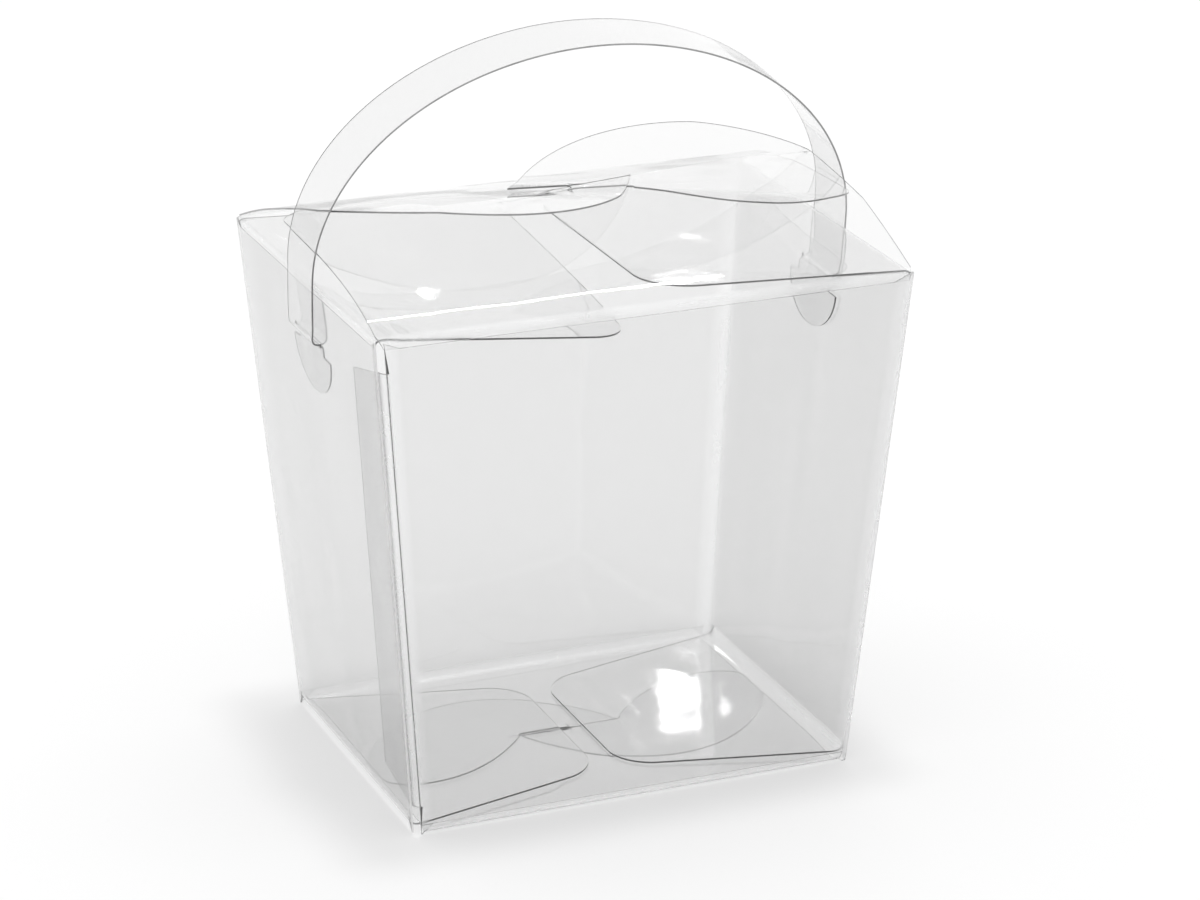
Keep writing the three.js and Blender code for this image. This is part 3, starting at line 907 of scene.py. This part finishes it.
class CLEARBOX_OT_end_flaps(bpy.types.Operator):
    """The four end flaps: two under the lid and two on the floor of the box"""

    bl_idname = "clearbox.end_flaps"
    bl_label = "End flaps"

    def execute(self, context):
        size = sizes()
        half = size.sheet / 2
        wall_z = size.height - WALL_SEAM_TOP
        lid_root = half_width(size.height) - LID_END_ROOT
        base_root = half_width(0) - BASE_END_ROOT
        lid_fold = self.fold(-(half_width(wall_z) - half), wall_z, -lid_root, size.height - half)
        base_level = 2 * LAYER + half
        base_fold = self.fold(-(half_width(SEAM_END) - half), SEAM_END, -base_root, base_level)
        for side, word in ((-1, "left"), (1, "right")):
            reach = lid_root - LID_END_GAP / 2 - side * LID_END_SHIFT
            lid = end_flap(-lid_root, LID_END, reach, lid_fold)
            if side < 0:
                self.dip(lid, -lid_root, size.height - half, size.left_dip)
            self.place(lid, side, f"lid_{word}_end", f"top_{word}_end_flap")
            self.bend(
                f"lid_{word}_end",
                (side * half_width(wall_z), 0, wall_z),
                (side * lid_root, 0, size.height),
            )
            base = end_flap(-base_root, BASE_END, base_root - BASE_END_GAP / 2, base_fold)
            self.place(base, side, f"base_{word}_end", f"bottom_{word}_end_flap")
            self.bend(
                f"base_{word}_end",
                (side * half_width(SEAM_END), 0, SEAM_END),
                (side * base_root, 0, base_level),
            )
        return {"FINISHED"}

    @staticmethod
    def fold(wall_x, wall_z, root_x, level):
        corner = (wall_x, 0, level)
        return [
            (
                *bezier((wall_x, 0, wall_z), corner, (root_x, 0, level), share)[::2],
                1 - abs(2 * share - 1) ** 2,
                share == 0,
            )
            for share in even(0, 1, 8)
        ]

    @staticmethod
    def dip(flap, root, level, angle):
        """The flap hangs lower at its front corner than at its back one."""

        def turn(p):
            run = (p[0] - root) * (1 - p[1] / FREE_EDGE_SKEW)
            if run <= 0:
                return p
            here = angle * clamp(1 - p[1] / DIP_SPREAD, 0, 1.9) * smooth(run / (3 * MM))
            return (root + run * math.cos(here), p[1], level - run * math.sin(here))

        flap.points = [turn(p) for p in flap.points]

    def place(self, flap, side, name, node_name):
        if side > 0:
            flap.points = [(-x, -y, z) for x, y, z in flap.points]
        piece = finish_piece(flap, name, sizes().sheet, "clear_sheet")
        if name.startswith("base"):
            # Painted light: the base end flap's cut edges are painted half pale.
            paint_edge_light(piece, [0.5] * len(piece.data.vertices))
        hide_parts(node_name)

    @staticmethod
    def bend(name, start, end):
        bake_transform(bpy.data.objects[name])


# Handle


TONGUE_NECK = 2.5 * MM  # from the slit down to the tongue's head
TONGUE_DROP = 7.5 * MM  # depth of the head below that
TONGUE_HALF = 9 * MM  # half the head's width
NECK_HALF = 5.85 * MM
NECK_FOOT = 2.35 * MM
FOOT_OUT = 47.95 * MM  # from the middle to the strap's foot, outside the wall
STAND_OFF = 0.7 * MM  # the strap's clearance from the top of the wall


class CLEARBOX_OT_handle(bpy.types.Operator):
    """The carrying strap, with the tongues that hook it into the end walls"""

    bl_idname = "clearbox.handle"
    bl_label = "Handle"

    def execute(self, context):
        size = sizes()
        path = self.path(size)
        strap = Sheet()
        rows = []
        lean_from = size.slit_height
        for x, z, half, crease in path:
            lean = size.strap_lean * smooth((z - lean_from) / (3 * MM))
            row = []
            for share in even(-1, 1, 12):
                y = half * share
                rise = z - lean_from
                place = (
                    x,
                    y * math.cos(lean) - rise * math.sin(lean),
                    lean_from + rise * math.cos(lean) + y * math.sin(lean),
                )
                row.append(strap.point(place, crease))
            rows.append(row)
        strap.grid(rows)
        piece = finish_piece(strap, "handle_band", size.sheet, "clear_strap")
        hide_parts("handle_strap", "handle_tongue_left", "handle_tongue_right")
        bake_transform(piece)
        return {"FINISHED"}

    def path(self, size):
        """The strap's middle line from the left tongue's tip to the right one's, with its half width."""
        slit = size.slit_height
        side = []
        for angle in even(math.radians(8), math.pi / 2, 12):
            z = slit - TONGUE_NECK - TONGUE_DROP * math.cos(angle)
            side.append((self.inside(z), z, TONGUE_HALF * math.sin(angle), 0.0))
        barb = slit - NECK_FOOT
        side.append((self.inside(barb), barb, NECK_HALF, 0.0))
        wall = half_width(slit)
        below = slit - 1.2 * MM
        leg_x = FOOT_OUT + 0.05 * MM
        leg_z = slit + 1.4 * MM
        inner = [(self.inside(below), below), (wall - 0.8 * MM, slit), (wall + 0.3 * MM, slit)]
        outer = [(wall + 0.3 * MM, slit), (FOOT_OUT, slit), (leg_x, leg_z)]
        for bend in (inner, outer):
            for share in even(0, 1, 6)[1:]:
                x, z = bezier(*bend, share)
                side.append((x, z, NECK_HALF, 1 - abs(2 * share - 1)))
        half = size.strap_width / 2
        top_leg = slit + size.strap_leg
        shoulder = half_width(size.height) + STAND_OFF
        for share in even(0, 1, 10)[1:]:
            z = lerp(leg_z, top_leg, share)
            x = lerp(leg_x, shoulder, math.sin(share * math.pi / 2))
            side.append((x, z, lerp(NECK_HALF, half, smooth(share * 6)), 0.0))
        arch = [
            (
                shoulder * math.cos(angle),
                top_leg + (size.strap_rise - size.strap_leg) * math.sin(angle),
                half,
                0.0,
            )
            for angle in even(0, math.pi, 120)[1:-1]
        ]
        right = side + arch
        left = [(-x, z, h, c) for x, z, h, c in reversed(side)]
        return right + left

    @staticmethod
    def inside(z):
        return half_width(z) - 0.75 * MM


# Stage


CAMERA_DISTANCE = 769.72 * MM
CAMERA_RIGHT = 5.31 * MM
CAMERA_UP = 49.33 * MM
FLOOR_GLOW = 0.58  # keeps the floor near white under the box
LAMPS = (
    # name, place, width and depth, power
    ("overhead", (0.05, 0.03, 1.6), (0.2, 0.2), 10.5),
    ("streak", (0.355, 0.61, 1.13), (0.36, 0.01), 0.4),
    ("behind", (0.4615, 1.007, 0.49), (0.015, 0.016), 0.01),
)


class CLEARBOX_OT_stage(bpy.types.Operator):
    """Pale floor, soft studio light and the camera"""

    bl_idname = "clearbox.stage"
    bl_label = "Stage"

    def execute(self, context):
        scene = context.scene
        self.floor()
        self.world(scene)
        for lamp in LAMPS:
            self.lamp(*lamp)
        self.camera(scene)
        scene.view_settings.view_transform = "Standard"
        scene.cycles.max_bounces = 40
        scene.cycles.transmission_bounces = 40
        scene.cycles.transparent_max_bounces = 64
        scene.cycles.glossy_bounces = 8
        scene.cycles.diffuse_bounces = 4
        scene.cycles.caustics_refractive = False
        scene.cycles.caustics_reflective = False
        scene.cycles.blur_glossy = 0.5
        return {"FINISHED"}

    @staticmethod
    def floor():
        mesh = bpy.data.meshes.new("floor")
        reach = 6.0
        corners = ((-1, -1), (1, -1), (1, 1), (-1, 1))
        mesh.from_pydata([(reach * x, reach * y, -0.0002) for x, y in corners], [], [(0, 1, 2, 3)])
        floor = bpy.data.objects.new("floor", mesh)
        bpy.context.scene.collection.objects.link(floor)
        material = bpy.data.materials.new("floor_paper")
        material.use_nodes = True
        paint = material.node_tree.nodes["Principled BSDF"]
        paint.inputs["Base Color"].default_value = (*colours().floor, 1)
        paint.inputs["Emission Color"].default_value = (1, 1, 1, 1)
        paint.inputs["Emission Strength"].default_value = FLOOR_GLOW
        paint.inputs["Roughness"].default_value = 0.9
        paint.inputs["Specular IOR Level"].default_value = 0.1
        mesh.materials.append(material)

    @staticmethod
    def world(scene):
        world = bpy.data.worlds.new("studio")
        world.use_nodes = True
        scene.world = world
        tree = world.node_tree
        back = tree.nodes["Background"]
        place = tree.nodes.new("ShaderNodeTexCoord")
        split = tree.nodes.new("ShaderNodeSeparateXYZ")
        tree.links.new(place.outputs["Generated"], split.inputs[0])
        behind = tree.nodes.new("ShaderNodeMapRange")
        behind.inputs["From Min"].default_value = -0.6
        behind.inputs["From Max"].default_value = 0.5
        behind.inputs["To Min"].default_value = 0.8
        behind.inputs["To Max"].default_value = 1.12
        behind.interpolation_type = "SMOOTHSTEP"
        tree.links.new(split.outputs["Y"], behind.inputs["Value"])
        tree.links.new(behind.outputs[0], back.inputs["Color"])
        back.inputs["Strength"].default_value = 1.0

    @staticmethod
    def lamp(name, place, size, power):
        data = bpy.data.lights.new(name, "AREA")
        data.shape = "RECTANGLE"
        data.size, data.size_y = size
        data.energy = power
        lamp = bpy.data.objects.new(name, data)
        bpy.context.scene.collection.objects.link(lamp)
        lamp.location = place
        aim = Vector((0, 0, 0.05)) - Vector(place)
        lamp.rotation_euler = aim.to_track_quat("-Z", "Y").to_euler()

    @staticmethod
    def camera(scene):
        data = bpy.data.cameras.new("camera")
        data.sensor_width = 36.0
        data.lens = 131.14
        data.clip_start = 0.01
        camera = bpy.data.objects.new("camera", data)
        scene.collection.objects.link(camera)
        azimuth = math.radians(-22.59)
        lift = math.radians(20.81)
        roll = math.radians(0.16)
        right = Vector((math.cos(azimuth), math.sin(azimuth), 0))
        ahead = Vector((-math.sin(azimuth), math.cos(azimuth), 0))
        skyward = Vector((0, 0, 1))
        up = ahead * math.sin(lift) + skyward * math.cos(lift)
        back = skyward * math.sin(lift) - ahead * math.cos(lift)
        place = back * CAMERA_DISTANCE + right * CAMERA_RIGHT + up * CAMERA_UP
        turned_right = right * math.cos(roll) + up * math.sin(roll)
        turned_up = up * math.cos(roll) - right * math.sin(roll)
        turn = Matrix((turned_right, turned_up, back)).transposed()
        camera.matrix_world = Matrix.Translation(place) @ turn.to_4x4()
        scene.camera = camera


PIECES = (
    CLEARBOX_OT_sleeve,
    CLEARBOX_OT_lid_locks,
    CLEARBOX_OT_base_locks,
    CLEARBOX_OT_end_flaps,
    CLEARBOX_OT_handle,
    CLEARBOX_OT_stage,
)


class CLEARBOX_PT_panel(bpy.types.Panel):
    """Lists the box's pieces, sizes and colours"""

    bl_idname = "CLEARBOX_PT_panel"
    bl_label = "Clear folding box"
    bl_space_type = "VIEW_3D"
    bl_region_type = "UI"
    bl_category = "Clear Box"

    def draw(self, context):
        layout = self.layout
        for piece in PIECES:
            layout.operator(piece.bl_idname)
        for group in (context.scene.clear_box_sizes, context.scene.clear_box_colours):
            column = layout.column()
            for name in group.__annotations__:
                column.prop(group, name)


CLASSES = (ClearBoxSizes, ClearBoxColours, *PIECES, CLEARBOX_PT_panel)


def register():
    for cls in CLASSES:
        bpy.utils.register_class(cls)
    bpy.types.Scene.clear_box_sizes = bpy.props.PointerProperty(type=ClearBoxSizes)
    bpy.types.Scene.clear_box_colours = bpy.props.PointerProperty(type=ClearBoxColours)


def unregister():
    del bpy.types.Scene.clear_box_colours
    del bpy.types.Scene.clear_box_sizes
    for cls in reversed(CLASSES):
        bpy.utils.unregister_class(cls)


def main():
    register()
    bpy.ops.clearbox.sleeve()
    bpy.ops.clearbox.lid_locks()
    bpy.ops.clearbox.base_locks()
    bpy.ops.clearbox.end_flaps()
    bpy.ops.clearbox.handle()
    bpy.ops.clearbox.stage()


if __name__ == "__main__":
    main()
